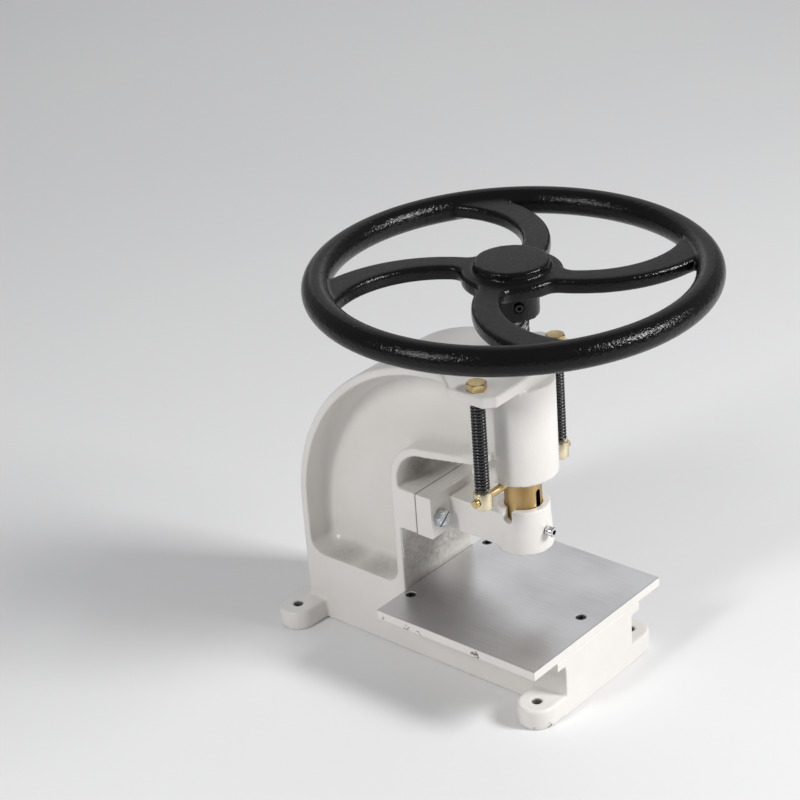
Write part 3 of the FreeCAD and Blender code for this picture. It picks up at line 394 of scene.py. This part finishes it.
def settle(piece):
    """Apply the piece's modifiers to its mesh."""
    graph = bpy.context.evaluated_depsgraph_get()
    mesh = bpy.data.meshes.new_from_object(piece.evaluated_get(graph))
    piece.modifiers.clear()
    piece.data = mesh


def carve(piece, *shapes):
    """Take shapes out of the piece."""
    cutter = joined("cutter", shapes)
    change = piece.modifiers.new("carve", "BOOLEAN")
    change.operation = "DIFFERENCE"
    change.solver = "EXACT"
    change.object = cutter
    settle(piece)
    bpy.data.objects.remove(cutter)


def finish_piece(piece, body, look, node, sharp=32):
    """Give the piece its look and body, in place of a CAD node; edges over sharp degrees stay hard."""
    piece.data.materials.clear()
    piece.data.materials.append(look)
    piece.data.shade_smooth()
    piece.data.set_sharp_from_angle(angle=math.radians(sharp))
    if body:
        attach(piece, body)
    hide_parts(node)


def casting(node, voxel, rounds, body, look, feet=False):
    """The CAD solid with the soft edges and filled corners of a painted casting."""
    foot_x, foot_top = 0.06, 0.0235
    build = bmesh.new()
    build.from_mesh(nodes[node].data)
    bmesh.ops.remove_doubles(build, verts=build.verts, dist=1e-6)
    mesh = bpy.data.meshes.new(f"{node}_cast")
    build.to_mesh(mesh)
    build.free()
    piece = bpy.data.objects.new(f"{node}_cast", mesh)
    bpy.context.scene.collection.objects.link(piece)
    remesh = piece.modifiers.new("voxels", "REMESH")
    remesh.mode = "VOXEL"
    remesh.voxel_size = voxel
    soft = piece.modifiers.new("soften", "SMOOTH")
    soft.factor = 0.5
    soft.iterations = rounds
    settle(piece)
    if feet:
        group = piece.vertex_groups.new(name="feet")
        points = piece.data.vertices
        group.add([v.index for v in points if abs(v.co.x) > foot_x and v.co.z < foot_top], 1, "ADD")
        even = piece.modifiers.new("feet", "SMOOTH")
        even.factor = 0.5
        even.iterations = 24
        even.use_z = False
        even.vertex_group = "feet"
    fewer = piece.modifiers.new("fewer", "DECIMATE")
    fewer.ratio = 0.4
    settle(piece)
    finish_piece(piece, body, look, node, sharp=60)


def screw_places():
    """Middles of the separate solids in the table screws' node."""
    apart = 0.012
    groups = []
    for point in (v.co for v in nodes["table_screws"].data.vertices):
        own = next((g for g in groups if (g[0].xy - point.xy).length < apart), None)
        if own:
            own.append(point.copy())
        else:
            groups.append([point.copy()])
    return [
        ((min(p.x for p in group) + max(p.x for p in group)) / 2,
         (min(p.y for p in group) + max(p.y for p in group)) / 2) for group in groups
    ]


def table(places):
    """Plate with a ground top, painted edges and stepped screw holes; returns the height of its top."""
    hole_r, sink_r, past = 0.0044, 0.0058, 0.002
    low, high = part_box("cutting_table")
    piece = joined("table_plate", [(box_shape(low, high), UNMOVED)])
    edge = piece.modifiers.new("edge", "BEVEL")
    edge.width = 0.0008
    edge.segments = 2
    settle(piece)
    hole = turned([
        (hole_r, low.z - past), (hole_r, high.z - 0.0042),
        (sink_r, high.z - 0.0026), (sink_r, high.z + past),
    ])
    carve(piece, *[(hole, at(x, y, 0)) for x, y in places])
    finish_piece(piece, "frame", PAINT, "cutting_table", sharp=15)
    piece.data.materials.append(STEEL)
    ground_from = low.z + 0.004
    for face in piece.data.polygons:
        if face.normal.z > 0.5 and face.center.z > ground_from:
            face.material_index = 1
    return high.z


def table_screws(places, top):
    """Socket screws, each turned by its own angle, with their heads sunk in the table."""
    shank_r, head_r, flats, turn_per_metre = 0.004, 0.0056, 0.005, 40
    low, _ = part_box("table_screws")
    screw = turned([
        (0.0036, low.z), (shank_r, low.z + 0.0005), (shank_r, top - 0.0045), (head_r, top - 0.0027),
        (head_r, top - 0.0012), (0.0050, top - 0.0008),
    ])
    socket = socket_shape(flats, top - 0.0045, top + 0.001)
    piece = joined("table_screw_set", [(screw, at(x, y, 0)) for x, y in places])
    carve(piece, *[
        (socket, at(x, y, 0, Matrix.Rotation(turn_per_metre * x, 4, "Z"))) for x, y in places
    ])
    finish_piece(piece, "frame", OXIDE, "table_screws")


def bracket_bolts():
    """Two bolts with slotted hexagon heads, turned by different angles."""
    seat_y, shank_r, head_height = -0.018, 0.005, 0.0068
    low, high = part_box("bracket_bolts")
    middle = (low.z + high.z) / 2
    flats = high.z - low.z
    span = (high.x - low.x - flats / math.cos(math.radians(30))) / 2
    shank = [ring(shank_r, z, HEAD_STEPS) for z in (low.y - high.y + 0.007, 0)]
    bolt = skin(shank + hexagon_head(flats, head_height))
    slot = box_shape((-0.02, -0.0009, 0.0042), (0.02, 0.0009, 0.01))
    places = [
        at(side * span, seat_y, middle, TO_FRONT) @ Matrix.Rotation(math.radians(lean), 4, "Z")
        for side, lean in ((-1, 38), (1, -62))
    ]
    piece = joined("bracket_bolt_set", [(bolt, place) for place in places])
    carve(piece, *[(slot, place) for place in places])
    finish_piece(piece, "frame", ZINC, "bracket_bolts", sharp=24)


def guide_screw():
    """Polished cap screw with a dark socket."""
    shank_r, head_r, head, flats = 0.003, 0.005, 0.008, 0.005
    socket_r, rim = 0.00288, 0.0004
    low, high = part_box("guide_screw")
    tip = -(high.y - low.y - head)
    profile = [
        (0.0024, tip), (shank_r, tip + 0.0008), (shank_r, 0), (0.0048, 0), (head_r, 0.0003),
        (head_r, head - 0.0008), (0.0046, head - 0.0001), (0.0040, head),
    ]
    place = at(0, low.y + head, (low.z + high.z) / 2, TO_FRONT)
    piece = joined("guide_cap_screw", [(turned(profile), place)])
    carve(piece, (socket_shape(flats, head - 0.0045, head + 0.001), place))
    finish_piece(piece, "frame", CHROME, "guide_screw")
    piece.data.materials.append(OXIDE)
    for face in piece.data.polygons:
        away = face.center - place.translation
        inside = math.hypot(away.x, away.z) < socket_r
        if inside and low.y + rim < face.center.y < low.y + head:
            face.material_index = 1


def spring_bolt(side):
    """Hexagon bolt through the head plate."""
    shank_r, head_seat, head_height = 0.004, 0.008, 0.0079
    low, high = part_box(f"{side}_spring_bolt")
    x = (low.x + high.x) / 2
    flats = high.y - low.y
    plate = high.z - head_seat
    shank = [
        ring(0.0034, low.z, HEAD_STEPS), ring(shank_r, low.z + 0.0008, HEAD_STEPS),
        ring(shank_r, plate, HEAD_STEPS),
    ]
    bolt = skin(shank + hexagon_head(flats, head_height, plate))
    turn = Matrix.Rotation(0.35 if side == "left" else -0.2, 4, "Z")
    piece = joined(f"{side}_spring_hex_bolt", [(bolt, at(x, RAM_Y, 0, turn))])
    finish_piece(piece, "frame", GOLD, f"{side}_spring_bolt", sharp=24)


def spring(side):
    """Wire wound between head plate and collar, with flat end turns."""
    wire, coil, turns, steps, corners = 0.0014, 0.0061, 28, 26, 10
    low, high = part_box(f"{side}_spring")
    x = SPRING_X if side == "right" else -SPRING_X
    first, last = low.z + wire, high.z - wire
    path = []
    for i in range(turns * steps + 1):
        share = i / (turns * steps)
        angle = TAU * turns * share
        flat = min(1, share * turns, (1 - share) * turns)
        rise = first + (last - first) * share
        level = first if share < 0.5 else last
        z = level + (rise - level) * flat
        path.append(Vector((x + coil * math.cos(angle), RAM_Y + coil * math.sin(angle), z)))
    rings = []
    for i, point in enumerate(path):
        ahead = (path[min(i + 1, len(path) - 1)] - path[max(i - 1, 0)]).normalized()
        out = Vector((point.x - x, point.y - RAM_Y, 0)).normalized()
        over = ahead.cross(out).normalized()
        round_wire = [TAU * k / corners for k in range(corners)]
        rings.append([point + (out * math.cos(a) + over * math.sin(a)) * wire for a in round_wire])
    piece = joined(f"{side}_coil", [(skin(rings), UNMOVED)])
    finish_piece(piece, None, SPRING, f"{side}_spring", sharp=80)
    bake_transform(piece)


def collar(side):
    """Collar with a dished top, bored for the cross pin."""
    bore_r, past = 0.0043, 0.02
    low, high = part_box(f"{side}_spring_collar")
    x = (low.x + high.x) / 2
    radius = (high.y - low.y) / 2
    cup = turned([
        (radius - 0.0008, low.z), (radius, low.z + 0.0008), (radius, high.z - 0.0012),
        (radius - 0.0005, high.z - 0.0003), (radius - 0.0012, high.z), (radius - 0.003, high.z - 0.0004),
    ])
    piece = joined(f"{side}_collar_cup", [(cup, at(x, RAM_Y, 0))])
    bore = turned([(bore_r, -past), (bore_r, past)])
    carve(piece, (bore, at(x, RAM_Y, (low.z + high.z) / 2, TO_RIGHT)))
    finish_piece(piece, "ram", PALE, f"{side}_spring_collar")


def cross_pin():
    """Pin with a groove near each end."""
    low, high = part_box("cross_pin")
    radius = (high.z - low.z) / 2
    half = (high.x - low.x) / 2
    neck = half - 0.0042
    groove = radius * 0.76
    end = [
        (radius * 0.86, -half), (radius, -half + 0.0006), (radius, -neck), (groove, -neck + 0.0001),
        (groove, -neck + 0.0012), (radius, -neck + 0.0013),
    ]
    profile = end + [(r, -z) for r, z in reversed(end)]
    place = at(0, RAM_Y, (low.z + high.z) / 2, TO_RIGHT)
    piece = joined("cross_pin_rod", [(turned(profile, 40), place)])
    finish_piece(piece, "ram", GOLD, "cross_pin")


def spindle():
    """Steep six-start thread, with a plain journal below and a plain stem above."""
    lead, starts, crest, root = 0.048, 6, 0.014, 0.0117
    flank_from, flank = 0.28, 0.34
    plain, bottom, boss = 0.012, 0.2961, 0.395
    steps, levels = 144, 100
    low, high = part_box("spindle")

    def depth(angle, z):
        phase = (starts * (angle / TAU - z / lead)) % 1
        wave = abs(2 * phase - 1)
        share = min(max((wave - flank_from) / flank, 0), 1)
        return root + (crest - root) * share

    rings = [
        ring(0.0118, low.z, steps), ring(plain, low.z + 0.0006, steps), ring(plain, bottom - 0.0002, steps),
    ]
    for i in range(levels + 1):
        z = bottom + (boss - 0.0006 - bottom) * i / levels
        rings.append(ring(lambda angle, z=z: depth(angle, z), z, steps))
    rings += [ring(plain, boss, steps), ring(plain, high.z, steps)]
    piece = joined("spindle_screw", [(skin(rings), at(0, RAM_Y, 0))])
    finish_piece(piece, "handwheel", OILED, "spindle", sharp=50)


def hub_set_screw():
    """Socket set screw, which points outward from the hub's axis."""
    angle, radius, end_r, flats = math.radians(-130), 0.004, 0.0036, 0.004
    low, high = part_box("hub_set_screw")
    outward = Matrix.Rotation(angle, 4, "Z") @ TO_RIGHT
    place = at(0, RAM_Y, (low.z + high.z) / 2) @ outward
    profile = [(end_r, 0.01205), (radius, 0.0126), (radius, 0.0262), (end_r, 0.0268)]
    piece = joined("hub_grub_screw", [(turned(profile, 48), place)])
    carve(piece, (socket_shape(flats, 0.0225, 0.03), place))
    finish_piece(piece, "handwheel", OXIDE, "hub_set_screw")


def camera():
    """Camera at the photograph's viewpoint, rolled as the photograph is."""
    azimuth, elevation, roll = (math.radians(v) for v in (-47.723, 26.847, -4.372))
    target, distance = Vector((0.15927, 0.20763, 0.15)), 2.54323
    back = Vector((
        math.sin(azimuth) * math.cos(elevation),
        -math.cos(azimuth) * math.cos(elevation),
        math.sin(elevation),
    ))
    right = Vector((0, 0, 1)).cross(back).normalized()
    up = back.cross(right)
    side = right * math.cos(roll) + up * math.sin(roll)
    rise = up * math.cos(roll) - right * math.sin(roll)
    data = bpy.data.cameras.new("photo_camera")
    data.sensor_width = 36
    data.lens = 101.596
    data.clip_end = 50
    shot = bpy.data.objects.new("photo_camera", data)
    bpy.context.scene.collection.objects.link(shot)
    turn = Matrix((side, rise, back)).transposed().to_4x4()
    shot.matrix_world = Matrix.Translation(target + back * distance) @ turn
    bpy.context.scene.camera = shot


def lamp(name, place, aim, size, watts):
    """Rectangular lamp that points at aim."""
    data = bpy.data.lights.new(name, "AREA")
    data.shape = "RECTANGLE"
    data.size, data.size_y = size
    data.energy = watts
    light = bpy.data.objects.new(name, data)
    light.location = place
    light.rotation_euler = (Vector(aim) - Vector(place)).to_track_quat("-Z", "Y").to_euler()
    bpy.context.scene.collection.objects.link(light)


def studio():
    """Pale floor and plain studio light."""
    half, drop = 6, -0.0002
    grid = [Vector((x, y, drop)) for y in (-half, half) for x in (-half, half)]
    floor = joined("floor", [((grid, [(0, 1, 3, 2)]), UNMOVED)])
    look = Look("floor", (0.80, 0.80, 0.80), 0, 0.6)
    cloud = look.ramp(look.noise(1.3, 3), 0.3, 0.7)
    look.paint(look.colours(cloud, (0.79, 0.79, 0.795), (0.81, 0.81, 0.81)))
    floor.data.materials.append(look.material)
    world = bpy.data.worlds.new("studio")
    bpy.context.scene.world = world
    world.use_nodes = True
    sky = world.node_tree.nodes["Background"].inputs
    sky["Color"].default_value = (0.80, 0.81, 0.83, 1)
    sky["Strength"].default_value = 0.34
    lamp("key", (1.0, -2.5, 1.9), (0, -0.05, 0.25), (0.9, 0.9), 94)
    lamp("left", (-2.3, 0.4, 1.7), (0, 0, 0.2), (0.4, 1.0), 30)
    lamp("sheen", (2.2, 1.9, 1.5), (0, -0.08, 0.1), (2.4, 1.8), 9)


casting("frame_casting", 0.0015, 4, "frame", PAINT, feet=True)
casting("guide_bracket", 0.001, 3, "frame", PAINT)
casting("handwheel", 0.0016, 10, "handwheel", BLACK)
screws = screw_places()
table_top = table(screws)
table_screws(screws, table_top)
bracket_bolts()
guide_screw()
for side in ("left", "right"):
    spring_bolt(side)
    spring(side)
    collar(side)
cross_pin()
spindle()
hub_set_screw()

# The remaining CAD nodes keep their own shapes
for name, look in (
    ("ram", BRASS), ("lead_nut", BRONZE), ("thrust_washer", BRONZE), ("nut_lock_screw", OXIDE),
    ("retaining_screws", OXIDE), ("hub_key", OILED),
):
    mesh = nodes[name].data
    mesh.materials.clear()
    mesh.materials.append(look)

camera()
studio()
bpy.context.scene.view_settings.view_transform = "Standard"
